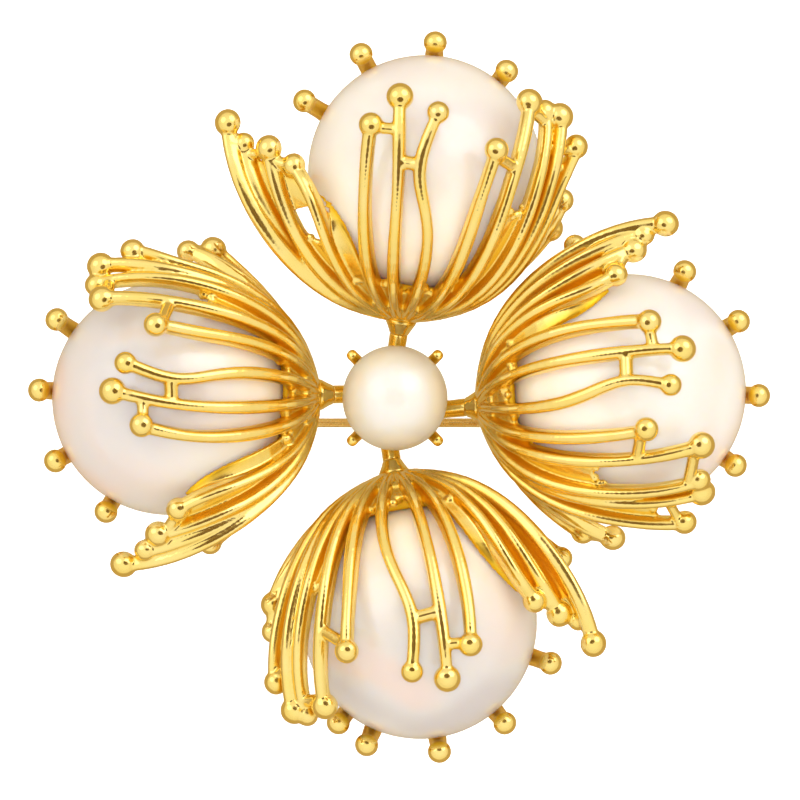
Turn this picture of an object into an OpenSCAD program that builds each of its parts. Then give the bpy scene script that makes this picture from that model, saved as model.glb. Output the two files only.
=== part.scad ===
// Cross-shaped brooch: four stamen-cup flowers, each wrapped round a large pearl, a small pearl in the
// middle, and a pin with a turning safety catch across the back.
// Units are millimetres. The brooch lies on its back with its face up (+Z). The middle of the small
// pearl is on the Z axis, and z = 0 is the lowest point of the findings on the back.

/* [Pearls] */
// Radius of each of the four large pearls
pearl_r = 11.7; // [11.5:0.05:11.75]
// Height of the large pearls' centres above the lowest point
pearl_z = 18; // [17.8:0.1:19]
// Radius of the small pearl in the middle
small_r = 5.25; // [5:0.05:5.3]
// Height of the small pearl's centre
small_z = 19; // [18.9:0.05:19.3]
// Radius of the drilled hole and of the peg in each large pearl
peg_r = 0.8; // [0.6:0.05:0.9]
// How deep each peg goes into its large pearl
peg_depth = 6; // [4:0.5:8]

/* [Stamens] */
// Width of a stamen stem, side to side
stem_w = 1.35; // [1.1:0.05:1.5]
// Depth of a stamen stem, towards the pearl
stem_d = 2.0; // [1.6:0.1:2.1]
// How far the foot of a flower sits below the middle of its pearl
foot_drop = 3; // [2.5:0.1:3.2]
// Width of the little bars that tie neighbouring stamens together
bar_w = 1.0; // [0.8:0.1:1.3]
// Angle from the foot to the rim of the solid fluted bowl
bowl_deg = 38; // [30:1:42]

/* [Prong baskets] */
// Radius of a prong's wire
prong_r = 0.8; // [0.7:0.05:0.85]
// Diameter of the ball on a prong
prong_ball = 2.2; // [2:0.1:2.4]
// Angle from the bottom of the pearl to the saucer's rim
saucer_deg = 34; // [32:1:35]

/* [Middle] */
// Radius of the dish under the small pearl
dish_r = 4.6; // [4.3:0.1:4.8]
// Radius of the four arms
arm_r = 0.85; // [0.7:0.05:0.9]
// Radius of a collar where it meets the flower
collar_r = 1.6; // [1.4:0.05:1.7]
// Diameter of the ball on a small claw
claw_ball = 1.15; // [1:0.05:1.3]

/* [Pin and catch] */
// Radius of the pin's wire
pin_r = 0.45; // [0.4:0.01:0.48]
// Distance of the hinge to the right of the middle
hinge_x = 20; // [19.5:0.1:20.2]
// Distance of the catch to the left of the middle
catch_x = 19.5; // [19:0.1:19.8]
// How far the pin lies below the middle of the brooch
pin_y = 2.5; // [2.4:0.05:2.6]
// Height of the pin above the lowest point
pin_z = 2; // [1.95:0.01:2.05]
// Length of the pin's point
point_len = 4.5; // [3.5:0.1:5]
// Radius of the rivet in the hinge
rivet_r = 0.5; // [0.45:0.01:0.55]
// Running clearance between a moving round part and its hole
run_gap = 0.05; // [0.03:0.01:0.08]

/* [Hidden] */
// Each flower: turn, pearl across and outward from the middle, foot across and outward from the pearl,
// then each prong's direction and how far out its ball stands.
FLOWERS = [
  [0, 3, 22.6, -2.2, -13.6, [[51, 13], [85.5, 13], [118.5, 13.4], [149.5, 14]]],
  [90, 0, 22.6, 0.3, -13.8, [[55, 13.7], [86.5, 13], [119, 13], [151, 13]]],
  [180, -2.5, 22.4, 2.4, -13.8, [[51, 13], [66.5, 13.4], [98.5, 13.1], [130, 13.2], [162.5, 13.7]]],
  [270, -0.7, 23.4, 1.4, -14, [[55, 13], [88, 13], [122.5, 13], [155, 13.2]]]
];
// Each stamen is bent by hand: where its middle is and how far that stands off the pearl's centre, the
// same for its tip, the diameter of its ball, and how far it waves sideways. A negative stand-off is
// on the back of the pearl. Four flaring stamens, three over the face, five on the other side, and
// the short ones behind.
TOP_STAMENS = [
  [-14.5, -7.5, 16.8, -19.7, 4.9, 20.8, 2.5, 0],
  [-13.7, -7, 15.8, -18.1, 2.8, 18.8, 1.9, 0],
  [-12.5, -6.5, 14.8, -15.6, 2.3, 16.8, 2.5, 0],
  [-10.1, -5.5, 13.6, -13.1, 0.6, 14.6, 2.1, 0],
  [-6, -4.5, 13, -5.4, 4.6, 15.2, 2.1, 0],
  [-2.8, -3.5, 13, -2.5, 7.4, 15.2, 2.5, 0],
  [0.1, -4.5, 13, 1.3, 5.8, 15.2, 1.9, 1.2],
  [4.6, -5.5, 13, 7.1, 2.1, 15.2, 2.1, 0],
  [7.6, -4, 13.4, 10.4, 6.9, 15.2, 2.5, 0],
  [9.8, -5, 13.4, 12, 6, 15, 2, 0],
  [11, -4.8, 13.7, 13.5, 5.5, 15.9, 2.5, 0],
  [12, -4.5, 13.8, 15.1, 2.5, 16.2, 2.1, 0],
  [10.4, -8, -13.9, 13.8, -2.8, -15, 2, 0],
  [9, -9.5, -14.2, 12.6, -5.6, -15.2, 2.4, 0],
  [-11, -9.5, -15, -14.5, -5, -16, 1.9, 0]
];
LEFT_STAMENS = [
  [-11.9, -7.5, 15, -16.6, 4.5, 17.8, 2.5, 0],
  [-11.3, -7, 14.3, -15.2, 2.3, 16.4, 1.9, 0],
  [-10.7, -6.5, 13.8, -13.6, 1, 15, 2.5, 0],
  [-8.6, -6.3, 13.4, -11.1, -1, 13.6, 2.1, 0],
  [-3.8, -5.5, 13, -2.7, 2.6, 15.2, 2.1, 0],
  [-0.9, -4.5, 13, 0.7, 5.5, 15.2, 2.5, 0],
  [2.3, -5, 13, 3.5, 4.2, 15.2, 1.9, 0.8],
  [6, -5.5, 13, 7.3, 1.2, 15.2, 2.1, 0],
  [8.6, -4.5, 13.4, 9.9, 6.6, 15.2, 2.5, 0],
  [10.5, -5, 13.4, 11.3, 7.2, 15, 2, 0],
  [11.3, -4.5, 13.7, 13.2, 6.8, 16.1, 2.5, 0],
  [12.2, -4, 13.9, 14.7, 3.6, 16.2, 2.1, 0],
  [11.5, -7.5, -13.9, 14.7, -1.9, -15.4, 2, 0],
  [10.6, -8.8, -14.4, 14.9, -4.4, -16.2, 2.4, 0],
  [-10.5, -8.5, -14.2, -14.6, -4.1, -15.8, 1.9, 0]
];
BOTTOM_STAMENS = [
  [-11.6, -8.5, 15.3, -17.3, 2.1, 18.4, 2.5, 0],
  [-11, -8, 14.4, -15.8, -0.3, 16.6, 1.9, 0],
  [-9.5, -7.5, 13.8, -13.9, -0.9, 15, 2.5, 0],
  [-7.4, -8, 13.4, -11.4, -2.2, 13.6, 2.1, 0],
  [-3.9, -6, 13, -5, 2.1, 15.2, 2.1, 0],
  [-1.2, -5.5, 13, -2.7, 5.5, 15.2, 2.5, 0],
  [2.7, -5.5, 13, 0.8, 4.8, 15.2, 1.9, 1.1],
  [6.9, -5, 13, 7.3, 2.8, 15.2, 2.1, 0],
  [9.2, -4, 13.4, 9.5, 8.3, 15.2, 2.5, 0],
  [10.8, -4, 13.4, 11.3, 9.2, 15.8, 2, 0],
  [11.8, -4, 13.9, 12.6, 8.8, 16.5, 2.5, 0],
  [12.8, -4, 14, 14.4, 6, 16.4, 2.1, 0],
  [12.6, -5.5, -14.2, 14.8, 1, -15.4, 1.9, 0],
  [11.6, -7.5, -14.2, 14.7, -1.7, -15.4, 2.4, 0],
  [-9.5, -10, -14.4, -14.2, -6.4, -16, 1.9, 0]
];
RIGHT_STAMENS = [
  [-12.5, -7.5, 15, -16.7, 3.6, 17.8, 2.5, 0],
  [-11.5, -7.3, 14.4, -15.6, 1.4, 16.4, 1.9, 0],
  [-10, -7.3, 13.8, -14.1, 0.4, 15, 2.5, 0],
  [-9, -6.5, 13.4, -11.6, -1.4, 13.6, 2.1, 0],
  [-6.3, -4.5, 13, -6.9, 1.9, 15.2, 2.1, 0],
  [-3.3, -4.5, 13, -4.2, 5.2, 15.2, 2.5, 0],
  [0.6, -5, 13, -0.6, 4, 15.2, 1.9, 1],
  [4.6, -5, 13, 3.8, 1.6, 15.2, 2.1, 0],
  [6.9, -3.5, 13.2, 5.4, 7.1, 15.2, 2.5, 0],
  [9.8, -4, 13.4, 8.9, 6.9, 14.8, 2, 0],
  [10.7, -3.5, 13.6, 10.1, 7.2, 15.1, 2.5, 0],
  [12.2, -3.5, 13.9, 13.1, 5.5, 15.8, 2.1, 0],
  [11.8, -7, -14, 14.7, -1.6, -15.4, 2.4, 0],
  [10.6, -9, -14.4, 14.2, -4.6, -15.8, 2, 0],
  [-10.2, -8.8, -14.4, -14.6, -5.4, -16, 1.9, 0]
];
// Stamens against the back of each pearl, the same on every flower.
BACK_STAMENS = [
  [-8.6, -7.5, -13.3, -10.6, -0.5, -13.4, 2, 0],
  [-3.5, -10.8, -13.3, -4.4, -8.2, -13.4, 1.9, 0],
  [3.5, -10.8, -13.3, 4.4, -8.2, -13.4, 1.9, 0],
  [8.6, -7.5, -13.3, 10.6, -0.5, -13.4, 2, 0]
];
// Bars: from one stamen, how far along it, to another stamen, how far along that.
BARS = [
  [0, 0.94, 1, 1],
  [2, 0.97, 3, 0.98],
  [4, 1, 5, 0.85],
  [5, 0.73, 6, 0.78],
  [7, 0.98, 8, 0.72],
  [9, 1, 10, 0.98],
  [10, 0.86, 11, 0.98],
  [12, 0.95, 13, 0.98]
];

EPS = 0.02;
RINGS = 7;
foot_rise = 1.2;
STAMENS = [TOP_STAMENS, LEFT_STAMENS, BOTTOM_STAMENS, RIGHT_STAMENS];
saucer_in = pearl_r + EPS;
saucer_out = pearl_r + 1.2;
prong_ring = pearl_r + prong_r + EPS;
boss_end = 15.1;
collar_end = 16.7;
hinge_bore = rivet_r + run_gap;
roller_r = 1.2;
housing_in = roller_r + run_gap;
housing_out = 2;
slot_r = pin_r + 0.1;
pad_z = 4;
ear_gap = 2.2;
ear_t = 0.8;
knuckle_len = ear_gap - 0.2;
catch_len = 2.6;
lever_t = 0.8;
side_gap = 0.15;
flange_t = 0.4;
taper_len = 6;

function unit(v) = v / norm(v);
function through(a, b, c, t) = a * (1 - t) * (1 - 2 * t) + 4 * b * t * (1 - t) + c * t * (2 * t - 1);
function on_ball(x, y, r) = [x, y, sign(r) * sqrt(max(0.01, r * r - x * x - y * y))];
function foot(f) = [f[3], f[4], -foot_drop];
function stamen_dir(f, s, t) =
  unit(through(unit(foot(f)), unit(on_ball(s[0], s[1], s[2])), unit(on_ball(s[3], s[4], s[5])), t));
function stamen_reach(f, s, t) =
  through(norm(foot(f)) - 0.5, abs(s[2]), abs(s[5]), t) + foot_rise * pow(1 - t, 8);
function stamen_at(f, s, t) =
  stamen_dir(f, s, t) * stamen_reach(f, s, t) + [s[7] * sin(360 * t) * (0.3 + t), 0, 0];
function stamen_way(f, s, t) = unit(stamen_at(f, s, t + 0.01) - stamen_at(f, s, t - 0.01));

// Places a child at a flower's pearl centre, turned so that +Y points away from the brooch's middle.
module at_pearl(f) {
  rotate([0, 0, f[0]])
    translate([f[1], f[2], pearl_z])
      children();
}

// Turns +Z from a flower's pearl centre to its foot.
module to_foot(f) {
  p = foot(f);
  rotate([0, acos(p[2] / norm(p)), atan2(p[1], p[0])])
    children();
}

// One stem: a six-sided blade swept along its bend, its narrow edge to the pearl.
module stem(f, s) {
  pts = [for (i = [0:RINGS - 1])
    let (t = 0.12 + 0.88 * i / (RINGS - 1), p = stamen_at(f, s, t), way = stamen_way(f, s, t),
      side = unit(cross(way, unit(p))), out = cross(side, way),
      w = stem_w * (1 - 0.15 * t) / 2, d = stem_d * (1 - 0.2 * t) / 2)
    for (c = [[0, 1], [1, 0.45], [1, -0.45], [0, -1], [-1, -0.45], [-1, 0.45]])
      p + side * c[0] * w + out * c[1] * d];
  last = (RINGS - 1) * 6;
  faces = concat(
    [[0, 1, 2, 3, 4, 5]],
    [[for (k = [5:-1:0]) last + k]],
    [for (i = [0:RINGS - 2]) for (k = [0:5])
      [i * 6 + k, (i + 1) * 6 + (k + 1) % 6, i * 6 + (k + 1) % 6]],
    [for (i = [0:RINGS - 2]) for (k = [0:5])
      [i * 6 + k, (i + 1) * 6 + k, (i + 1) * 6 + (k + 1) % 6]]);
  polyhedron(pts, faces, convexity = 4);
}

// The ball at the end of a stem, sunk a little onto it.
module tip_ball(f, s) {
  translate(stamen_at(f, s, 1))
    hull()
      sphere(d = s[6], $fn = 8);
}

module bar(f, all, b) {
  hull() {
    translate(stamen_at(f, all[b[0]], b[1]))
      sphere(d = bar_w, $fn = 6);
    translate(stamen_at(f, all[b[2]], b[3]))
      sphere(d = bar_w, $fn = 6);
  }
}

// The solid fluted bowl round the foot, drilled for the peg.
module bowl(f) {
  low = pearl_r + 0.35;
  high = pearl_r + 1.6;
  to_foot(f)
    difference() {
      rotate_extrude($fn = 18)
        polygon(concat(
          [for (a = [0:bowl_deg / 3:bowl_deg]) [high * sin(a), high * cos(a)]],
          [for (a = [bowl_deg:-bowl_deg / 3:0]) [low * sin(a), low * cos(a)]]));
      cylinder(r = peg_r * 1.08, h = 40, $fn = 16);
    }
  to_foot(f)
    difference() {
      translate([0, 0, high - 0.6])
        cylinder(r1 = 3.4, r2 = collar_r, h = boss_end - high + 0.6, $fn = 20);
      cylinder(r = peg_r * 1.08, h = 40, $fn = 16);
    }
}

module stamen_cup(i) {
  f = FLOWERS[i];
  all = concat(STAMENS[i], BACK_STAMENS);
  color("gold")
    at_pearl(f)
      union() {
        bowl(f);
        for (s = all) {
          stem(f, s);
          tip_ball(f, s);
        }
        for (b = BARS)
          bar(f, all, b);
      }
}

module pearl(i) {
  f = FLOWERS[i];
  color("ivory")
    at_pearl(f)
      difference() {
        sphere(r = pearl_r, $fn = 96);
        to_foot(f)
          translate([0, 0, pearl_r - peg_depth])
            cylinder(r = peg_r, h = peg_depth + 1, $fn = 48);
      }
}

module pearl_peg(i) {
  f = FLOWERS[i];
  color("goldenrod")
    at_pearl(f)
      to_foot(f)
        translate([0, 0, pearl_r - peg_depth])
          cylinder(r = peg_r, h = boss_end - pearl_r + peg_depth, $fn = 48);
}

module collar(i) {
  f = FLOWERS[i];
  color("gold")
    at_pearl(f)
      to_foot(f)
        translate([0, 0, boss_end])
          cylinder(r1 = collar_r, r2 = arm_r + 0.1, h = collar_end - boss_end, $fn = 48);
}

// A saucer under the pearl with ball-tipped prongs that rise round its outer edge.
module prong_basket(i) {
  f = FLOWERS[i];
  color("gold")
    at_pearl(f) {
      rotate_extrude($fn = 96)
        difference() {
          intersection() {
            circle(r = saucer_out, $fn = 180);
            polygon([[0, 0], [20 * sin(saucer_deg), -20 * cos(saucer_deg)], [0, -20]]);
          }
          circle(r = saucer_in, $fn = 180);
        }
      for (p = f[5])
        rotate([0, 0, p[0]]) {
          rotate([90, 0, 0])
            rotate([0, 0, -66])
              rotate_extrude(angle = 66, $fn = 96)
                translate([prong_ring, 0])
                  circle(r = prong_r, $fn = 32);
          translate([p[1], 0, 0.4])
            sphere(d = prong_ball, $fn = 32);
        }
    }
}

// The dish under the small pearl, its four arms out to the collars, and its four ball claws.
module centre_setting() {
  color("gold") {
    difference() {
      union() {
        translate([0, 0, small_z - 5.8])
          cylinder(r1 = dish_r - 0.9, r2 = dish_r, h = 2, $fn = 64);
        for (f = FLOWERS)
          at_pearl(f)
            to_foot(f)
              translate([0, 0, collar_end])
                cylinder(r = arm_r, h = 3.9, $fn = 32);
      }
      translate([0, 0, small_z])
        sphere(r = small_r + EPS, $fn = 96);
      translate([0, 0, small_z - 6])
        cylinder(r = 0.5, h = 3, $fn = 32);
    }
    for (a = [45:90:315])
      rotate([0, 0, a])
        translate([dish_r - 0.5, 0, small_z - 4.5]) {
          rotate([0, 30, 0])
            cylinder(r = 0.45, h = 4, $fn = 24);
          rotate([0, 30, 0])
            translate([0, 0, 4])
              sphere(d = claw_ball, $fn = 24);
        }
  }
}

module centre_pearl() {
  color("ivory")
    difference() {
      translate([0, 0, small_z])
        sphere(r = small_r, $fn = 96);
      translate([0, 0, small_z - 6])
        cylinder(r = 0.5, h = 4, $fn = 32);
    }
}

module centre_peg() {
  color("goldenrod")
    translate([0, 0, small_z - 5.8])
      cylinder(r = 0.5, h = 3.8, $fn = 32);
}

// A flat-bottomed saddle that fits up against a saucer.
module saddle(i, x) {
  f = FLOWERS[i];
  color("goldenrod")
    difference() {
      translate([x - 2.3, -pin_y - 2.3, pad_z])
        cube([4.6, 4.6, 3]);
      at_pearl(f)
        sphere(r = saucer_out + EPS, $fn = 96);
    }
}

module hinge_pad() {
  saddle(3, hinge_x);
}

module hinge_ears() {
  color("goldenrod") {
    translate([hinge_x - 1.7, -pin_y - ear_gap / 2 - ear_t, pad_z - 0.55])
      cube([3.4, ear_gap + 2 * ear_t, 0.55]);
    for (side = [-1, 1])
      translate([hinge_x, -pin_y + side * (ear_gap + ear_t) / 2 + ear_t / 2, pin_z])
        rotate([90, 0, 0])
          difference() {
            linear_extrude(height = ear_t)
              union() {
                circle(r = 1.7, $fn = 64);
                translate([-1.7, 0])
                  square([3.4, pad_z - pin_z]);
                translate([-1, -pin_z])
                  square([2, pin_z]);
              }
            translate([0, 0, -1])
              cylinder(r = rivet_r, h = ear_t + 2, $fn = 48);
          }
  }
}

module hinge_rivet() {
  length = ear_gap + 2 * ear_t;
  color("goldenrod")
    translate([hinge_x, -pin_y, pin_z])
      rotate([90, 0, 0]) {
        cylinder(r = rivet_r, h = length, center = true, $fn = 48);
        for (side = [0, 1])
          rotate([0, 180 * side, 0])
            translate([0, 0, length / 2])
              cylinder(r1 = 0.85, r2 = 0.55, h = 0.3, $fn = 48);
      }
}

// The pin: a knuckle on the rivet and a wire that ends in a point past the catch.
module pin_stem() {
  reach = hinge_x + catch_x + 0.6;
  color("goldenrod")
    translate([hinge_x, -pin_y, pin_z])
      difference() {
        union() {
          rotate([90, 0, 0])
            cylinder(r = 1.25, h = knuckle_len, center = true, $fn = 64);
          rotate([0, -90, 0]) {
            cylinder(r = pin_r, h = reach - taper_len, $fn = 48);
            translate([0, 0, reach - taper_len])
              cylinder(r1 = pin_r, r2 = pin_r - 0.06, h = taper_len, $fn = 48);
            translate([0, 0, reach])
              cylinder(r1 = pin_r - 0.06, r2 = 0.06, h = point_len, $fn = 48);
          }
        }
        rotate([90, 0, 0])
          cylinder(r = hinge_bore, h = 5, center = true, $fn = 48);
      }
}

module catch_pad() {
  saddle(1, -catch_x);
}

// A short tube under the pad, open downwards for the pin.
module catch_housing() {
  color("goldenrod")
    translate([-catch_x - catch_len / 2, -pin_y, pin_z])
      rotate([90, 0, 90])
        linear_extrude(height = catch_len)
          difference() {
            union() {
              circle(r = housing_out, $fn = 96);
              translate([-1.5, 0])
                square([3, pad_z - pin_z]);
            }
            circle(r = housing_in, $fn = 96);
            translate([-slot_r - 0.1, -3])
              square([2 * slot_r + 0.2, 3]);
          }
}

// The lock: a slotted roller that turns in the tube, with a thumb lever on its outer end.
module catch_lock() {
  color("goldenrod")
    translate([-catch_x - catch_len / 2 - lever_t - side_gap, -pin_y, pin_z])
      rotate([90, 0, 90])
        difference() {
          union() {
            cylinder(r = roller_r, h = catch_len + lever_t + 2 * side_gap + 0.1, $fn = 96);
            cylinder(r = 1.7, h = lever_t, $fn = 96);
            translate([0, 0, catch_len + lever_t + 2 * side_gap])
              cylinder(r = 1.6, h = flange_t, $fn = 96);
            translate([-2.4, -0.6, 0])
              cube([1.6, 1.2, lever_t]);
            translate([-2.4, 0, 0])
              cylinder(r = 0.6, h = lever_t, $fn = 32);
          }
          translate([0, 0, -1])
            linear_extrude(height = 8)
              union() {
                circle(r = slot_r, $fn = 64);
                translate([-slot_r, -3])
                  square([2 * slot_r, 3]);
              }
        }
}

module top_stamen_cup() {
  stamen_cup(0);
}
module top_pearl() {
  pearl(0);
}
module top_prong_basket() {
  prong_basket(0);
}
module top_pearl_peg() {
  pearl_peg(0);
}
module top_collar() {
  collar(0);
}
module left_stamen_cup() {
  stamen_cup(1);
}
module left_pearl() {
  pearl(1);
}
module left_prong_basket() {
  prong_basket(1);
}
module left_pearl_peg() {
  pearl_peg(1);
}
module left_collar() {
  collar(1);
}
module bottom_stamen_cup() {
  stamen_cup(2);
}
module bottom_pearl() {
  pearl(2);
}
module bottom_prong_basket() {
  prong_basket(2);
}
module bottom_pearl_peg() {
  pearl_peg(2);
}
module bottom_collar() {
  collar(2);
}
module right_stamen_cup() {
  stamen_cup(3);
}
module right_pearl() {
  pearl(3);
}
module right_prong_basket() {
  prong_basket(3);
}
module right_pearl_peg() {
  pearl_peg(3);
}
module right_collar() {
  collar(3);
}

top_stamen_cup();
top_pearl();
top_prong_basket();
top_pearl_peg();
top_collar();
left_stamen_cup();
left_pearl();
left_prong_basket();
left_pearl_peg();
left_collar();
bottom_stamen_cup();
bottom_pearl();
bottom_prong_basket();
bottom_pearl_peg();
bottom_collar();
right_stamen_cup();
right_pearl();
right_prong_basket();
right_pearl_peg();
right_collar();
centre_setting();
centre_pearl();
centre_peg();
hinge_pad();
hinge_ears();
hinge_rivet();
pin_stem();
catch_pad();
catch_housing();
catch_lock();
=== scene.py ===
import math
import random

import bmesh
import bpy
from mathutils import Matrix, Vector


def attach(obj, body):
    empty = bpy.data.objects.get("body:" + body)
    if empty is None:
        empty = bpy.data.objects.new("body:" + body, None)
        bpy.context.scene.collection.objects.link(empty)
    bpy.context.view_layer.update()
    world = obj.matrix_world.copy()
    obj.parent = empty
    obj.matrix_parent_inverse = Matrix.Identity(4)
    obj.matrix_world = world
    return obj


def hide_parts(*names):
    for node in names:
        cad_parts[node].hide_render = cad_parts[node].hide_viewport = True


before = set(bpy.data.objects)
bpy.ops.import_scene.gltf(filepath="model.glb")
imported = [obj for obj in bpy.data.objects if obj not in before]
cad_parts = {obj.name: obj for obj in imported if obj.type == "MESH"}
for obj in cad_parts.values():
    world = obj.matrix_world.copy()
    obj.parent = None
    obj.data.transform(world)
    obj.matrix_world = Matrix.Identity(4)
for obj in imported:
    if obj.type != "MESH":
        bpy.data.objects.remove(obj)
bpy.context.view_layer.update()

MM = 0.001
PEARL_R = 11.7
PEARL_Z = 18.0
SMALL_R = 5.25
SMALL_Z = 19.0
PEG_R = 0.8
FOOT_DROP = 3.0
FOOT_RISE = 1.2
BOSS_END = 15.1
COLLAR_END = 16.7
SAUCER_DEG = 34.0
SKIN = 0.02            # hair's breadth between touching pieces
VOXEL = 0.13           # grain of the melted castings
STEM_DEPTH = 1.02
RIB_HALF, FREE_HALF, OUTER_HALF = 0.49, 0.67, 0.60
PRONG_BALL_R = 1.2
CLAW_R, CLAW_LONG, CLAW_LEAN_DEG, CLAW_AT = 0.56, 4.0, 30, 4.1

# how enclosed gold is before it gets painted shade, deep orange, and turns rough: reach of the test, openness
# when fully shaded and when bright
RECESS_REACH, RECESS_DEEP, RECESS_OPEN, RECESS_ROUGH = 0.0022, 0.25, 0.92, 0.38
# distance from a pearl's centre inside which its setting always gets painted shade, deep orange, and beyond
# which it is bright
BY_PEARL, OFF_PEARL = 0.0121, 0.0131

WORLD_LOW, WORLD_HIGH = 0.88, 1.1
HORIZON, ZENITH = (1, 0.92, 0.78), (1, 0.985, 0.96)
FLOOR_GLOW = 0.62
BOARD_AT, BOARD_HALF = (0.002, 0.0, 0.098), (0.033, 0.028)
CAMERA_AT, CAMERA_LENS = (0.0005, -0.0002, 2.518), 1125

# Name, turn, pearl across and outward from the middle, foot across and outward from the pearl's centre,
# and each prong's direction and reach.
FLOWERS = [
    ("top", 0, 3.0, 22.6, -2.2, -13.6, [(51, 13), (85.5, 13), (118.5, 13.4), (149.5, 14)]),
    ("left", 90, 0.0, 22.6, 0.3, -13.8, [(55, 13.7), (86.5, 13), (119, 13), (151, 13)]),
    ("bottom", 180, -2.5, 22.4, 2.4, -13.8,
     [(51, 13), (66.5, 13.4), (98.5, 13.1), (130, 13.2), (162.5, 13.7)]),
    ("right", 270, -0.7, 23.4, 1.4, -14.0, [(55, 13), (88, 13), (122.5, 13), (155, 13.2)]),
]

# Each stamen: its middle's x, y and distance from the pearl's centre, negative where it is behind the pearl,
# the same for its tip, ball diameter, sideways wave.
STAMENS = {
    "top": [
        (-14.5, -7.5, 16.8, -19.7, 4.9, 20.8, 2.5, 0),
        (-13.7, -7, 15.8, -18.1, 2.8, 18.8, 1.9, 0),
        (-12.5, -6.5, 14.8, -15.6, 2.3, 16.8, 2.5, 0),
        (-10.1, -5.5, 13.6, -13.1, 0.6, 14.6, 2.1, 0),
        (-6, -4.5, 13, -5.4, 4.6, 15.2, 2.1, 0),
        (-2.8, -3.5, 13, -2.5, 7.4, 15.2, 2.5, 0),
        (0.1, -4.5, 13, 1.3, 5.8, 15.2, 1.9, 1.2),
        (4.6, -5.5, 13, 7.1, 2.1, 15.2, 2.1, 0),
        (7.6, -4, 13.4, 10.4, 6.9, 15.2, 2.5, 0),
        (9.8, -5, 13.4, 12, 6, 15, 2, 0),
        (11, -4.8, 13.7, 13.5, 5.5, 15.9, 2.5, 0),
        (12, -4.5, 13.8, 15.1, 2.5, 16.2, 2.1, 0),
        (10.4, -8, -13.9, 13.8, -2.8, -15, 2, 0),
        (9, -9.5, -14.2, 12.6, -5.6, -15.2, 2.4, 0),
        (-11, -9.5, -15, -14.5, -5, -16, 1.9, 0),
    ],
    "left": [
        (-11.9, -7.5, 15, -16.6, 4.5, 17.8, 2.5, 0),
        (-11.3, -7, 14.3, -15.2, 2.3, 16.4, 1.9, 0),
        (-10.7, -6.5, 13.8, -13.6, 1, 15, 2.5, 0),
        (-8.6, -6.3, 13.4, -11.1, -1, 13.6, 2.1, 0),
        (-3.8, -5.5, 13, -2.7, 2.6, 15.2, 2.1, 0),
        (-0.9, -4.5, 13, 0.7, 5.5, 15.2, 2.5, 0),
        (2.3, -5, 13, 3.5, 4.2, 15.2, 1.9, 0.8),
        (6, -5.5, 13, 7.3, 1.2, 15.2, 2.1, 0),
        (8.6, -4.5, 13.4, 9.9, 6.6, 15.2, 2.5, 0),
        (10.5, -5, 13.4, 11.3, 7.2, 15, 2, 0),
        (11.3, -4.5, 13.7, 13.2, 6.8, 16.1, 2.5, 0),
        (12.2, -4, 13.9, 14.7, 3.6, 16.2, 2.1, 0),
        (11.5, -7.5, -13.9, 14.7, -1.9, -15.4, 2, 0),
        (10.6, -8.8, -14.4, 14.9, -4.4, -16.2, 2.4, 0),
        (-10.5, -8.5, -14.2, -14.6, -4.1, -15.8, 1.9, 0),
    ],
    "bottom": [
        (-11.6, -8.5, 15.3, -17.3, 2.1, 18.4, 2.5, 0),
        (-11, -8, 14.4, -15.8, -0.3, 16.6, 1.9, 0),
        (-9.5, -7.5, 13.8, -13.9, -0.9, 15, 2.5, 0),
        (-7.4, -8, 13.4, -11.4, -2.2, 13.6, 2.1, 0),
        (-3.9, -6, 13, -5, 2.1, 15.2, 2.1, 0),
        (-1.2, -5.5, 13, -2.7, 5.5, 15.2, 2.5, 0),
        (2.7, -5.5, 13, 0.8, 4.8, 15.2, 1.9, 1.1),
        (6.9, -5, 13, 7.3, 2.8, 15.2, 2.1, 0),
        (9.2, -4, 13.4, 9.5, 8.3, 15.2, 2.5, 0),
        (10.8, -4, 13.4, 11.3, 9.2, 15.8, 2, 0),
        (11.8, -4, 13.9, 12.6, 8.8, 16.5, 2.5, 0),
        (12.8, -4, 14, 14.4, 6, 16.4, 2.1, 0),
        (12.6, -5.5, -14.2, 14.8, 1, -15.4, 1.9, 0),
        (11.6, -7.5, -14.2, 14.7, -1.7, -15.4, 2.4, 0),
        (-9.5, -10, -14.4, -14.2, -6.4, -16, 1.9, 0),
    ],
    "right": [
        (-12.5, -7.5, 15, -16.7, 3.6, 17.8, 2.5, 0),
        (-11.5, -7.3, 14.4, -15.6, 1.4, 16.4, 1.9, 0),
        (-10, -7.3, 13.8, -14.1, 0.4, 15, 2.5, 0),
        (-9, -6.5, 13.4, -11.6, -1.4, 13.6, 2.1, 0),
        (-6.3, -4.5, 13, -6.9, 1.9, 15.2, 2.1, 0),
        (-3.3, -4.5, 13, -4.2, 5.2, 15.2, 2.5, 0),
        (0.6, -5, 13, -0.6, 4, 15.2, 1.9, 1),
        (4.6, -5, 13, 3.8, 1.6, 15.2, 2.1, 0),
        (6.9, -3.5, 13.2, 5.4, 7.1, 15.2, 2.5, 0),
        (9.8, -4, 13.4, 8.9, 6.9, 14.8, 2, 0),
        (10.7, -3.5, 13.6, 10.1, 7.2, 15.1, 2.5, 0),
        (12.2, -3.5, 13.9, 13.1, 5.5, 15.8, 2.1, 0),
        (11.8, -7, -14, 14.7, -1.6, -15.4, 2.4, 0),
        (10.6, -9, -14.4, 14.2, -4.6, -15.8, 2, 0),
        (-10.2, -8.8, -14.4, -14.6, -5.4, -16, 1.9, 0),
    ],
}
BACK_STAMENS = [
    (-8.6, -7.5, -13.3, -10.6, -0.5, -13.4, 2, 0),
    (-3.5, -10.8, -13.3, -4.4, -8.2, -13.4, 1.9, 0),
    (3.5, -10.8, -13.3, 4.4, -8.2, -13.4, 1.9, 0),
    (8.6, -7.5, -13.3, 10.6, -0.5, -13.4, 2, 0),
]
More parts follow.
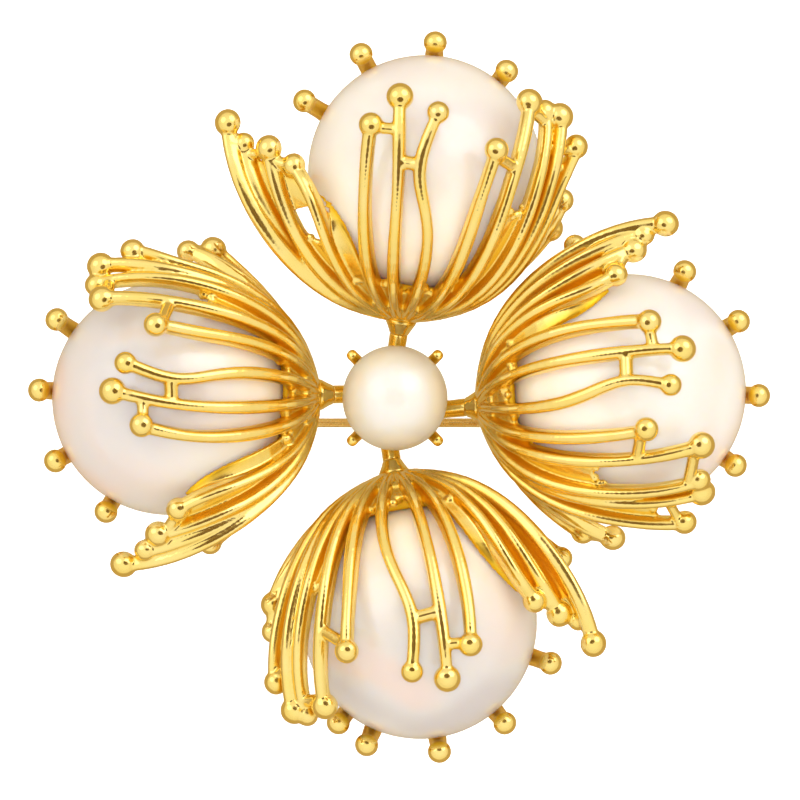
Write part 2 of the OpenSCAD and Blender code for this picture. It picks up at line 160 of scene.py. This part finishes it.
# Tie bars: stamen, how far along it, other stamen, how far along that, bar radius.
BARS = [(0, 0.94, 1, 1, 0.6), (1, 0.96, 2, 0.97, 0.5), (2, 0.95, 3, 0.97, 0.6), (4, 0.99, 5, 0.88, 0.58),
        (5, 0.73, 6, 0.78, 0.68), (7, 0.97, 8, 0.72, 0.62), (8, 0.98, 9, 0.96, 0.6), (9, 1, 10, 0.98, 0.6),
        (10, 0.86, 11, 0.98, 0.5), (12, 0.95, 13, 0.98, 0.7)]
# Neighbouring stamens joined by a thin web: from how far along to how far along, and how deep it lies.
WEBS = [(0, 1, 0.03, 0.97, 0.75), (1, 2, 0.03, 0.97, 0.75), (2, 3, 0.03, 0.95, 0.75),
        (3, 4, 0.03, 0.24, 0.25), (4, 5, 0.03, 0.22, 0.25), (5, 6, 0.03, 0.2, 0.25),
        (6, 7, 0.03, 0.22, 0.25), (7, 8, 0.03, 0.27, 0.25), (8, 9, 0.03, 0.62, 0.6),
        (9, 10, 0.03, 0.86, 0.6), (10, 11, 0.03, 0.86, 0.6), (11, 12, 0.03, 0.5, 0.4),
        (12, 13, 0.03, 0.8, 0.4), (13, 18, 0.03, 0.4, 0.2), (18, 17, 0.03, 0.4, 0.2),
        (17, 16, 0.03, 0.4, 0.2), (16, 15, 0.03, 0.4, 0.2), (15, 14, 0.03, 0.4, 0.2),
        (14, 0, 0.03, 0.4, 0.3)]
# A web with a slot through it, on the top flower only.
SLOTTED = [(2, 3, 0.03, 0.52, 0.75), (2, 3, 0.65, 0.95, 0.75)]
# The stamens that are narrow ribs on a web rather than free round stems.
RIBS = (0, 1, 2, 3)
# The inner flank slopes from one rib down to the pearl: which rib, how far its middle and tip are shifted,
# and its distance from the pearl's centre.
FLANK_OF, FLANK_MID, FLANK_TIP, FLANK_R = 3, 1.9, 0.6, 12.4


# ---------------------------------------------------------------- geometry helpers (millimetres)

def quad(a, b, c, t):
    return a * (1 - t) * (1 - 2 * t) + b * (4 * t * (1 - t)) + c * (t * (2 * t - 1))


def on_ball(x, y, r):
    z = math.sqrt(max(0.01, r * r - x * x - y * y))
    return Vector((x, y, math.copysign(z, r)))


def foot_of(flower):
    return Vector((flower[4], flower[5], -FOOT_DROP))


def stamen_at(flower, s, t):
    foot = foot_of(flower)
    middle, tip = on_ball(*s[0:3]).normalized(), on_ball(*s[3:6]).normalized()
    way = quad(foot.normalized(), middle, tip, t).normalized()
    reach = quad(foot.length - 0.5, abs(s[2]), abs(s[5]), t) + FOOT_RISE * (1 - t) ** 8
    p = way * reach
    p.x += s[7] * math.sin(2 * math.pi * t) * (0.3 + t)
    return p


def to_foot(flower):
    """Turns +Z to the way from the pearl's centre to the foot."""
    return foot_of(flower).normalized().to_track_quat("Z", "Y").to_matrix()


def at_pearl(flower):
    return (Matrix.Rotation(math.radians(flower[1]), 4, "Z")
            @ Matrix.Translation((flower[2], flower[3], PEARL_Z)))


def add_ball(bm, centre, r, squash=1.0, out=None):
    m = Matrix.Translation(centre)
    if out is not None:
        m = m @ out.to_track_quat("Z", "Y").to_matrix().to_4x4() @ Matrix.Diagonal((1, 1, squash, 1))
    bmesh.ops.create_icosphere(bm, subdivisions=3, radius=r, matrix=m)


def add_rings(bm, rings):
    """A closed tube through the given rings of points."""
    rows = [[bm.verts.new(p) for p in ring] for ring in rings]
    n = len(rows[0])
    for a, b in zip(rows, rows[1:]):
        for k in range(n):
            bm.faces.new((a[k], a[(k + 1) % n], b[(k + 1) % n], b[k]))
    bm.faces.new(list(reversed(rows[0])))
    bm.faces.new(rows[-1])


def add_sweep(bm, points, outs, widths, depths, sides=16):
    rings = []
    for i, p in enumerate(points):
        way = (points[min(i + 1, len(points) - 1)] - points[max(i - 1, 0)]).normalized()
        side = way.cross(outs[i]).normalized()
        out = side.cross(way).normalized()
        ring = []
        for k in range(sides):
            a = 2 * math.pi * k / sides
            c, s = math.cos(a), math.sin(a)
            ring.append(p + side * (widths[i] * math.copysign(abs(c) ** 0.8, c))
                        + out * (depths[i] * math.copysign(abs(s) ** 0.8, s)))
        rings.append(ring)
    add_rings(bm, rings)


def add_wire(bm, a, b, ra, rb, sides=12, steps=4):
    pts = [a.lerp(b, i / steps) for i in range(steps + 1)]
    way = (b - a).normalized()
    out = way.orthogonal().normalized()
    rs = [ra + (rb - ra) * i / steps for i in range(steps + 1)]
    add_sweep(bm, pts, [out] * len(pts), rs, rs, sides)


def add_lathe(bm, profile, m, sides):
    """A closed solid turned about Z from (radius, height) points, closed on the axis or by a ring."""
    rows = []
    for r, z in profile:
        if r < 1e-6:
            rows.append([bm.verts.new(m @ Vector((0, 0, z)))])
        else:
            turns = [2 * math.pi * k / sides for k in range(sides)]
            rows.append([bm.verts.new(m @ Vector((r * math.cos(a), r * math.sin(a), z))) for a in turns])
    loop = list(zip(rows, rows[1:]))
    if len(rows[0]) > 1 and len(rows[-1]) > 1:
        loop.append((rows[-1], rows[0]))
    for a, b in loop:
        for k in range(sides):
            j = (k + 1) % sides
            if len(a) == 1 and len(b) > 1:
                bm.faces.new((a[0], b[j], b[k]))
            elif len(b) == 1 and len(a) > 1:
                bm.faces.new((a[k], a[j], b[0]))
            elif len(a) > 1:
                bm.faces.new((a[k], a[j], b[j], b[k]))


def to_object(bm, name, matrix, material):
    bmesh.ops.recalc_face_normals(bm, faces=bm.faces)
    bm.transform(Matrix.Scale(MM, 4) @ matrix)
    mesh = bpy.data.meshes.new(name)
    bm.to_mesh(mesh)
    bm.free()
    mesh.materials.append(material)
    mesh.shade_smooth()
    ob = bpy.data.objects.new(name, mesh)
    bpy.context.scene.collection.objects.link(ob)
    return ob


def cast(ob, voxel=VOXEL, rounds=6, ripple=0.03):
    """Melts overlapping shells into one casting with soft fillets, as it comes from polishing."""
    m = ob.modifiers.new("melt", "REMESH")
    m.mode, m.voxel_size, m.use_smooth_shade = "VOXEL", voxel * MM, True
    s = ob.modifiers.new("polish", "SMOOTH")
    s.factor, s.iterations = 0.5, rounds
    tex = bpy.data.textures.new(ob.name + "_ripple", "CLOUDS")
    tex.noise_scale = 0.0016
    d = ob.modifiers.new("ripple", "DISPLACE")
    d.texture, d.strength, d.mid_level = tex, ripple * MM, 0.5
    done = bpy.data.meshes.new_from_object(ob.evaluated_get(bpy.context.evaluated_depsgraph_get()))
    ob.modifiers.clear()
    old = ob.data
    ob.data = done
    bpy.data.meshes.remove(old)
    done.shade_smooth()


# ---------------------------------------------------------------- materials

def nodes_of(mat):
    mat.use_nodes = True
    nt = mat.node_tree
    nt.nodes.clear()
    out = nt.nodes.new("ShaderNodeOutputMaterial")
    bsdf = nt.nodes.new("ShaderNodeBsdfPrincipled")
    nt.links.new(bsdf.outputs[0], out.inputs[0])
    return nt, bsdf


def set_inputs(node, **values):
    for name, value in values.items():
        node.inputs[name.replace("_", " ")].default_value = value


def object_point(nt):
    return nt.nodes.new("ShaderNodeTexCoord").outputs["Object"]


def noise(nt, scale, detail, rough, distortion=0.0, point=None):
    n = nt.nodes.new("ShaderNodeTexNoise")
    set_inputs(n, Scale=scale, Detail=detail, Roughness=rough, Distortion=distortion)
    nt.links.new(point or object_point(nt), n.inputs["Vector"])
    return n.outputs["Fac"]


def mapped(nt, **inputs):
    """Object coordinates, moved or stretched."""
    mp = nt.nodes.new("ShaderNodeMapping")
    set_inputs(mp, **inputs)
    nt.links.new(object_point(nt), mp.inputs[0])
    return mp.outputs[0]


def ramp(nt, fac, stops):
    r = nt.nodes.new("ShaderNodeValToRGB")
    r.color_ramp.interpolation = "B_SPLINE"
    e = r.color_ramp.elements
    while len(e) < len(stops):
        e.new(0.5)
    for el, (pos, col) in zip(e, stops):
        el.position = pos
        el.color = (*col, 1)
    nt.links.new(fac, r.inputs[0])
    return r.outputs[0]


def remap(nt, value, from_lo, from_hi, to_lo=0.0, to_hi=1.0, kind="LINEAR"):
    m = nt.nodes.new("ShaderNodeMapRange")
    m.interpolation_type = kind
    set_inputs(m, From_Min=from_lo, From_Max=from_hi, To_Min=to_lo, To_Max=to_hi)
    nt.links.new(value, m.inputs["Value"])
    return m.outputs[0]


def by_distance(nt, point, from_lo, from_hi, to_lo, to_hi):
    """A soft step by how far the surface is from a fixed point of the object."""
    far = nt.nodes.new("ShaderNodeVectorMath")
    far.operation = "DISTANCE"
    far.inputs[1].default_value = point
    nt.links.new(object_point(nt), far.inputs[0])
    return remap(nt, far.outputs["Value"], from_lo, from_hi, to_lo, to_hi, "SMOOTHSTEP")


def blend(nt, fac, low, high):
    """Mixes two colours, each a fixed one or another node's."""
    m = nt.nodes.new("ShaderNodeMix")
    m.data_type = "RGBA"
    nt.links.new(fac, m.inputs[0])
    for slot, colour in ((6, low), (7, high)):
        if isinstance(colour, tuple):
            m.inputs[slot].default_value = (*colour, 1)
        else:
            nt.links.new(colour, m.inputs[slot])
    return m.outputs[2]


def bump(nt, bsdf, height, strength, distance):
    b = nt.nodes.new("ShaderNodeBump")
    set_inputs(b, Strength=strength, Distance=distance)
    nt.links.new(height, b.inputs["Height"])
    nt.links.new(b.outputs[0], bsdf.inputs["Normal"])


def gold(name, light, dark, rough_lo, rough_hi):
    """Metal whose colour and gloss vary in patches."""
    mat = bpy.data.materials.new(name)
    nt, p = nodes_of(mat)
    set_inputs(p, Metallic=1.0)
    colour = ramp(nt, noise(nt, 260, 4, 0.55), [(0.3, dark), (0.7, light)])
    rough = remap(nt, noise(nt, 900, 3, 0.6), 0.3, 0.7, rough_lo, rough_hi)
    return mat, nt, p, colour, rough


def satin_gold(name, light, dark, rough_lo, rough_hi, scratch):
    """Gold brushed along X."""
    mat, nt, p, colour, rough = gold(name, light, dark, rough_lo, rough_hi)
    nt.links.new(colour, p.inputs["Base Color"])
    nt.links.new(rough, p.inputs["Roughness"])
    bump(nt, p, noise(nt, 6000, 2, 0.5, point=mapped(nt, Scale=(0.05, 1, 1))), scratch, 0.00002)
    return mat


# random light and dark patches of the gold, and the deep orange of its painted shade
LIGHT, DARK, PAINTED_SHADE_GOLD = (0.98, 0.765, 0.29), (0.96, 0.725, 0.18), (0.92, 0.56, 0.025)


def cast_gold(name, pearl_at=None):
    """Polished castings with painted shade: deeper orange and rougher in recesses and close to the pearl."""
    mat, nt, p, colour, rough = gold(name, LIGHT, DARK, 0.11, 0.19)
    open_air = nt.nodes.new("ShaderNodeAmbientOcclusion")
    open_air.samples = 8
    set_inputs(open_air, Distance=RECESS_REACH)
    bright = remap(nt, open_air.outputs["AO"], RECESS_DEEP, RECESS_OPEN, kind="SMOOTHSTEP")
    if pearl_at:
        both = nt.nodes.new("ShaderNodeMath")
        both.operation = "MULTIPLY"
        nt.links.new(bright, both.inputs[0])
        nt.links.new(by_distance(nt, pearl_at, BY_PEARL, OFF_PEARL, 0.0, 1.0), both.inputs[1])
        bright = both.outputs[0]
    # painted shade: the base colour turns deep orange in recesses and close to the pearl
    nt.links.new(blend(nt, bright, PAINTED_SHADE_GOLD, colour), p.inputs["Base Color"])
    dull = nt.nodes.new("ShaderNodeMapRange")
    set_inputs(dull, To_Min=RECESS_ROUGH)
    nt.links.new(bright, dull.inputs["Value"])
    nt.links.new(rough, dull.inputs["To Max"])
    nt.links.new(dull.outputs[0], p.inputs["Roughness"])
    bump(nt, p, noise(nt, 1500, 2, 0.5), 0.10, 0.00004)
    return mat


GOLD = {f[0]: cast_gold("gold_" + f[0], at_pearl(f).to_translation() * MM) for f in FLOWERS}
CENTRE_GOLD = cast_gold("gold_centre")
FINDING_GOLD = satin_gold("satin_gold", (0.90, 0.66, 0.25), (0.84, 0.58, 0.18), 0.22, 0.32, 0.03)
PEG_GOLD = satin_gold("wire_gold", (0.92, 0.66, 0.26), (0.84, 0.56, 0.19), 0.15, 0.25, 0.05)


def nacre(name, shades, painted_light, painted_light_at, painted_light_from, painted_light_to, scale, seed):
    """Broad soft clouds, blending into painted light towards one point, under a clear glossy skin."""
    mat = bpy.data.materials.new(name)
    nt, p = nodes_of(mat)
    point = mapped(nt, Location=(seed, seed * 0.37, -seed * 0.61))
    cloud = ramp(nt, noise(nt, scale, 1.5, 0.4, 0.6, point), list(zip((0.36, 0.45, 0.53, 0.63), shades)))
    glow = by_distance(nt, painted_light_at, painted_light_from, painted_light_to, 1.0, 0.0)
    nt.links.new(blend(nt, glow, cloud, painted_light), p.inputs["Base Color"])
    set_inputs(p, Roughness=0.28, Specular_IOR_Level=0.4, Coat_Weight=1.0, Coat_Roughness=0.16, Coat_IOR=1.75,
               Subsurface_Weight=0.85, Subsurface_Radius=(1.0, 0.7, 0.42), Subsurface_Scale=0.0045)
    bump(nt, p, noise(nt, 110, 1, 0.4), 0.03, 0.0001)
    return mat


# ---------------------------------------------------------------- flowers

def add_web(bm, flower, rows, web, rnd):
    """A thin curved sheet between two stems, with a scalloped beaded edge."""
    a, b, near, far, sunk = web
    thick, count, across = 0.42, 18, 7
    dip = 0.22 if far < 0.3 else 0.16 if far < 0.7 else 0.05
    foot_p, foot_q = stamen_at(flower, rows[a], 0.03), stamen_at(flower, rows[b], 0.03)
    top_rows, low_rows = [], []
    rim = []
    ragged = [0] + [rnd.uniform(-0.12, 0.12) if far < 0.3 else 0 for _ in range(across - 2)] + [0]
    for i in range(count):
        top, low = [], []
        for j in range(across):
            t = near + (far - near) * i / (count - 1) * (1 + ragged[j])
            p, q = stamen_at(flower, rows[a], t), stamen_at(flower, rows[b], t)
            u = j / (across - 1)
            ease = 1 - dip * math.sin(math.pi * u) * (i / (count - 1))
            m = foot_p.lerp(foot_q, u).lerp(p.lerp(q, u), ease).normalized()
            r = p.length * (1 - u) + q.length * u - sunk
            top.append(bm.verts.new(m * (r + thick / 2)))
            low.append(bm.verts.new(m * (r - thick / 2)))
            if i == count - 1:
                rim.append(m * (r - 0.1))
        top_rows.append(top)
        low_rows.append(low)
    last = count - 1
    for i in range(last):
        for j in range(across - 1):
            bm.faces.new((top_rows[i][j], top_rows[i][j + 1], top_rows[i + 1][j + 1], top_rows[i + 1][j]))
            bm.faces.new((low_rows[i][j], low_rows[i + 1][j], low_rows[i + 1][j + 1], low_rows[i][j + 1]))
        for j in (0, across - 1):
            side = (top_rows[i][j], top_rows[i + 1][j], low_rows[i + 1][j], low_rows[i][j])
            bm.faces.new(side if j == 0 else tuple(reversed(side)))
    for i in (0, last):
        for j in range(across - 1):
            end = (top_rows[i][j], top_rows[i][j + 1], low_rows[i][j + 1], low_rows[i][j])
            bm.faces.new(end if i == last else tuple(reversed(end)))
    wide = (rim[0] - rim[-1]).length
    if wide > 1.6:
        for k in range(1, across - 1):
            if rnd.random() < 0.75:
                add_ball(bm, rim[k], rnd.uniform(0.3, 0.55))


def build_cup(flower, seed):
    name = flower[0]
    rnd = random.Random(seed)
    rows = STAMENS[name] + BACK_STAMENS
    bm = bmesh.new()
    # stems
    for n, s in enumerate(rows):
        phase, amp = rnd.uniform(0, 6.28), rnd.uniform(0.02, 0.06)
        points, outs, widths, depths = [], [], [], []
        count = 30
        for i in range(count):
            t = 0.02 + 0.98 * i / (count - 1)
            p = stamen_at(flower, s, t)
            points.append(p)
            outs.append(p.normalized())
            half = RIB_HALF if n in RIBS else OUTER_HALF if n > 8 else FREE_HALF
            w = half * (0.62 + 0.38 * min(1, t / 0.3))
            w *= 1 + (0.3 * t ** 3 if n in RIBS else -0.06 * t)
            w += amp * math.sin(9 * t + phase)
            d = STEM_DEPTH * (0.8 + 0.2 * min(1, t / 0.2)) * (1 - 0.24 * t)
            widths.append(w)
            depths.append(d)
        add_sweep(bm, points, outs, widths, depths)
        add_ball(bm, stamen_at(flower, s, 1), s[6] / 2 + (0.2 if s[6] < 2.3 else 0.14), 0.95, outs[-1])
    # bars
    for a, ta, b, tb, r in BARS:
        p, q = stamen_at(flower, rows[a], ta), stamen_at(flower, rows[b], tb)
        add_wire(bm, p, q, r, r)
    # thin webs between neighbours
    webs = WEBS if name != "top" else [w for w in WEBS if w[:2] != (2, 3)] + SLOTTED
    for web in webs:
        add_web(bm, flower, rows, web, rnd)
    rib = rows[FLANK_OF]
    flank = (rib[0] + FLANK_MID, rib[1], FLANK_R, rib[3] + FLANK_TIP, rib[4], FLANK_R, 2, 0)
    add_web(bm, flower, [rib, flank], (0, 1, 0.03, 0.93, 0.3), rnd)
    # solid bowl round the foot, and the drilled boss
    low, high = PEARL_R + 0.12, PEARL_R + 1.35
    turn_foot = to_foot(flower).to_4x4()
    arc = [math.radians(a) for a in (6, 12, 18, 24, 28)]
    add_lathe(bm, [(high * math.sin(a), high * math.cos(a)) for a in arc]
              + [(low * math.sin(a), low * math.cos(a)) for a in reversed(arc)], turn_foot, 48)
    hole = PEG_R * 1.05
    add_lathe(bm, [(hole, low), (5.2, low), (5.0, 13.2), (4.3, 13.75), (3.2, 14.3), (2.4, 14.65),
                   (1.85, 14.9), (1.6, BOSS_END), (hole, BOSS_END)], turn_foot, 48)
    ob = to_object(bm, name + "_stamens", at_pearl(flower), GOLD[name])
    cast(ob)
    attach(ob, "brooch")
    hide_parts(name + "_stamen_cup")


def build_pearl(name, flower, material, node):
    bm = bmesh.new()
    rows = [(0.0, -PEARL_R)]
    count = 64
    hole = PEG_R
    end = math.acos(hole / PEARL_R)
    for i in range(1, count + 1):
        a = -math.pi / 2 + (math.pi / 2 + end) * i / count
        rows.append((PEARL_R * math.cos(a), PEARL_R * math.sin(a)))
    rows += [(hole, PEARL_R - 6), (0.0, PEARL_R - 6)]
    add_lathe(bm, rows, to_foot(flower).to_4x4(), 128)
    ob = to_object(bm, name, at_pearl(flower), material)
    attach(ob, "brooch")
    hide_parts(node)


def build_basket(flower):
    name, prongs = flower[0], flower[6]
    bm = bmesh.new()
    lo, hi = PEARL_R + 0.03, PEARL_R + 1.2
    arc = [math.radians(SAUCER_DEG * i / 8) for i in range(0, 9)]
    prof = [(0.0, -hi)] + [(hi * math.sin(a), -hi * math.cos(a)) for a in arc[1:]]
    rim = math.radians(SAUCER_DEG + 1.5)
    prof += [((lo + hi) / 2 * math.sin(rim), -(lo + hi) / 2 * math.cos(rim))]
    prof += [(lo * math.sin(a), -lo * math.cos(a)) for a in reversed(arc[1:])] + [(0.0, -lo)]
    add_lathe(bm, prof, Matrix.Identity(4), 96)
    ring = PEARL_R + 0.85
    for a, far in prongs:
        ca, sa = math.cos(math.radians(a)), math.sin(math.radians(a))
        tip = Vector((ca, sa, 0)) * far + Vector((0, 0, 0.4))
        arc = [math.radians(-64 + 49 * i / 11) for i in range(12)]
        points = [Vector((ca * math.cos(e), sa * math.cos(e), math.sin(e))) * ring for e in arc]
        points += [points[-1].lerp(tip, (i + 1) / 6) for i in range(6)]
        outs = [p.normalized() for p in points]
        widths = [0.98 - 0.1 * i / 17 + 0.03 * math.sin(0.5 * i + a) for i in range(18)]
        depths = [0.9 - 0.06 * i / 17 for i in range(18)]
        add_sweep(bm, points, outs, widths, depths)
        add_ball(bm, tip, PRONG_BALL_R, 0.96, Vector((ca, sa, 0.3)))
    ob = to_object(bm, name + "_prongs", at_pearl(flower), GOLD[name])
    cast(ob)
    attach(ob, "brooch")
    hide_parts(name + "_prong_basket")


def build_collar(flower):
    name = flower[0]
    bm = bmesh.new()
    a, b = BOSS_END + SKIN, COLLAR_END
    add_lathe(bm, [(0.0, a), (1.5, a), (1.6, a + 0.12), (1.5, a + 0.5), (1.28, a + 0.9), (1.08, b - 0.3),
                   (1.0, b - 0.08), (0.95, b), (0.0, b)], to_foot(flower).to_4x4(), 64)
    ob = to_object(bm, name + "_collar_turned", at_pearl(flower), GOLD[name])
    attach(ob, "brooch")
    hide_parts(name + "_collar")


def build_centre():
    bm = bmesh.new()
    z0 = SMALL_Z - 5.8
    bowl_r = SMALL_R + 0.03
    prof = [(0.5, z0), (3.6, z0), (3.8, z0 + 0.2), (4.5, z0 + 1.7), (4.62, z0 + 1.95), (4.45, z0 + 2.1)]
    for i in range(7):
        r = 4.2 - 3.7 * i / 6
        prof.append((r, SMALL_Z - math.sqrt(bowl_r ** 2 - r ** 2)))
    add_lathe(bm, prof, Matrix.Identity(4), 72)
    for f in FLOWERS:
        m = at_pearl(f) @ to_foot(f).to_4x4()
        a, b = m @ Vector((0, 0, COLLAR_END + SKIN)), m @ Vector((0, 0, COLLAR_END + 3.9))
        add_wire(bm, a, b, 0.86, 0.8, 24, 8)
    for k in range(4):
        turn = Matrix.Rotation(math.radians(45 + 90 * k), 4, "Z")
        lean = math.radians(CLAW_LEAN_DEG)
        a = turn @ Vector((CLAW_AT, 0, SMALL_Z - 4.5))
        b = turn @ Vector((CLAW_AT + CLAW_LONG * math.sin(lean), 0,
                           SMALL_Z - 4.5 + CLAW_LONG * math.cos(lean)))
        add_wire(bm, a, b, CLAW_R, CLAW_R, 16, 6)
        add_ball(bm, b, CLAW_R, 0.6, b - a)
    ob = to_object(bm, "centre_mount", Matrix.Identity(4), CENTRE_GOLD)
    cast(ob, 0.11, 5, 0.02)
    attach(ob, "brooch")
    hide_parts("centre_setting")
    bm = bmesh.new()
    hole = 0.5
    start = -math.pi / 2 + math.asin(hole / SMALL_R)
    rows = [(0.0, -SMALL_R + 3.2), (hole, -SMALL_R + 3.2)]
    for i in range(49):
        a = start + (math.pi / 2 - start) * i / 48
        rows.append((SMALL_R * math.cos(a) if i < 48 else 0.0, SMALL_R * math.sin(a)))
    add_lathe(bm, rows, Matrix.Translation((0, 0, SMALL_Z)), 96)
    ob = to_object(bm, "centre_pearl_nacre", Matrix.Identity(4), SMALL_PEARL)
    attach(ob, "brooch")
    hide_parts("centre_pearl")


# Grey, cream, white and blush clouds of each pearl, painted darker on the left and bottom pearls as painted
# shade, and the paler golden shade that all of them turn by the cup, painted light and a painted reflection
# of the gold.
NACRE_AND_PAINTED_SHADE = {
    "top": ((0.55, 0.49, 0.46), (0.58, 0.54, 0.49), (0.60, 0.58, 0.54), (0.61, 0.48, 0.41)),
    "left": ((0.43, 0.39, 0.40), (0.47, 0.44, 0.43), (0.51, 0.48, 0.46), (0.56, 0.43, 0.38)),
    "bottom": ((0.43, 0.40, 0.40), (0.47, 0.44, 0.43), (0.50, 0.48, 0.46), (0.56, 0.45, 0.40)),
    "right": ((0.57, 0.51, 0.49), (0.60, 0.57, 0.54), (0.63, 0.61, 0.58), (0.63, 0.52, 0.46)),
}
PAINTED_GOLD_LIGHT = (0.98, 0.86, 0.66)
SMALL_SHADES = ((0.56, 0.51, 0.42), (0.58, 0.53, 0.43), (0.60, 0.55, 0.45), (0.60, 0.53, 0.40))
PEARLS = {}
for i, f in enumerate(FLOWERS):
    mouth = at_pearl(f) @ (foot_of(f).normalized() * PEARL_R) * MM
    # painted light: each pearl turns paler and golden towards its cup's mouth, a painted reflection of the
    # gold
    PEARLS[f[0]] = nacre("nacre_" + f[0], NACRE_AND_PAINTED_SHADE[f[0]], PAINTED_GOLD_LIGHT, mouth, 0.004, 0.022, 70, 3.1 + i)
# painted highlight: the centre pearl turns whiter towards its top, and its creamier rim stands for a painted
# reflection of the gold
painted_highlight_at = (0, 0, (SMALL_Z + SMALL_R) * MM)
SMALL_PEARL = nacre("nacre_centre", SMALL_SHADES, (0.57, 0.55, 0.51), painted_highlight_at, 0.0024, 0.0052, 140, 9.4)

for i, f in enumerate(FLOWERS):
    build_cup(f, 40 + i)
    build_pearl(f[0] + "_nacre", f, PEARLS[f[0]], f[0] + "_pearl")
    build_basket(f)
    build_collar(f)
build_centre()

FINDINGS = ("hinge_pad", "hinge_ears", "hinge_rivet", "pin_stem", "catch_pad", "catch_housing", "catch_lock")
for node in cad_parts:
    if node.endswith("_peg"):
        look = PEG_GOLD
    elif node in FINDINGS:
        look = FINDING_GOLD
    else:
        continue
    ob = bpy.data.objects[node]
    ob.data.materials.clear()
    ob.data.materials.append(look)

# ---------------------------------------------------------------- stage, light and camera

def stage_disc(name, centre, rx, ry, colour, roughness, glow=0.0, facing_down=False):
    sides = 96
    mat = bpy.data.materials.new(name)
    shader = nodes_of(mat)[1]
    set_inputs(shader, Base_Color=(*colour, 1), Roughness=roughness, Emission_Color=(1, 1, 1, 1),
               Emission_Strength=glow)
    bm = bmesh.new()
    x, y, z = centre
    turns = [2 * math.pi * k / sides for k in range(sides)]
    ring = [bm.verts.new((x + rx * math.cos(a), y + ry * math.sin(a), z)) for a in turns]
    bm.faces.new(list(reversed(ring)) if facing_down else ring)
    mesh = bpy.data.meshes.new(name)
    bm.to_mesh(mesh)
    bm.free()
    mesh.materials.append(mat)
    ob = bpy.data.objects.new(name, mesh)
    bpy.context.scene.collection.objects.link(ob)
    return ob


floor = stage_disc("floor", (0, 0, -0.0005), 3, 3, (0.9, 0.9, 0.9), 0.9, FLOOR_GLOW)
floor.visible_glossy = False

# What the gold mirrors: from below a dim tinted sheet hidden from the camera, a painted reflection standing
# in for shaded floor and gold bouncing into it; from above the photographer's dark outline.
shade_sheet = stage_disc("shade_sheet", (0, 0, -0.001), 0.6, 0.6, (0.53, 0.43, 0.26), 0.9)
shade_sheet.visible_camera = False
board = stage_disc("board", BOARD_AT, *BOARD_HALF, (0.10, 0.06, 0.018), 1.0, facing_down=True)
board.visible_camera = False
board.visible_diffuse = False
board.visible_shadow = False

world = bpy.data.worlds.new("studio")
bpy.context.scene.world = world
world.use_nodes = True
wn = world.node_tree
wn.nodes.clear()
out = wn.nodes.new("ShaderNodeOutputWorld")
bg = wn.nodes.new("ShaderNodeBackground")
co = wn.nodes.new("ShaderNodeTexCoord")
sep = wn.nodes.new("ShaderNodeSeparateXYZ")
wn.links.new(co.outputs["Generated"], sep.inputs[0])
wn.links.new(remap(wn, sep.outputs["Z"], -0.1, 0.9, WORLD_LOW, WORLD_HIGH), bg.inputs["Strength"])
rise = remap(wn, sep.outputs["Z"], 0.0, 0.8)
wn.links.new(blend(wn, rise, HORIZON, ZENITH), bg.inputs["Color"])
wn.links.new(bg.outputs[0], out.inputs[0])


def area(name, at, size, power):
    """A round lamp that looks at the middle of the brooch."""
    li = bpy.data.lights.new(name, "AREA")
    li.shape, li.size, li.energy = "DISK", size, power
    ob = bpy.data.objects.new(name, li)
    ob.location = at
    ob.rotation_euler = (-Vector(at)).to_track_quat("-Z", "Y").to_euler()
    bpy.context.scene.collection.objects.link(ob)
    return ob


front = area("front", (0, 0, 2.2), 0.3, 32)
front.visible_glossy = False
lamp = bpy.data.lights.new("middle", "SPOT")
lamp.spot_size, lamp.spot_blend, lamp.shadow_soft_size, lamp.energy = math.radians(1), 1.0, 0.05, 180
middle = bpy.data.objects.new("middle", lamp)
middle.location = (0, 0, 3)
middle.visible_glossy = False
bpy.context.scene.collection.objects.link(middle)
area("soft_left", (-0.7, 0.4, 0.7), 0.8, 1.2)
area("soft_right", (0.6, 0.6, 0.7), 0.9, 2.6)

cam = bpy.data.cameras.new("camera")
cam.sensor_width = 36
cam.lens = CAMERA_LENS
cam.clip_start, cam.clip_end = 0.05, 20
cam_ob = bpy.data.objects.new("camera", cam)
cam_ob.location = CAMERA_AT
bpy.context.scene.collection.objects.link(cam_ob)
bpy.context.scene.camera = cam_ob
bpy.context.scene.view_settings.view_transform = "Standard"
bpy.context.scene.view_settings.look = "None"
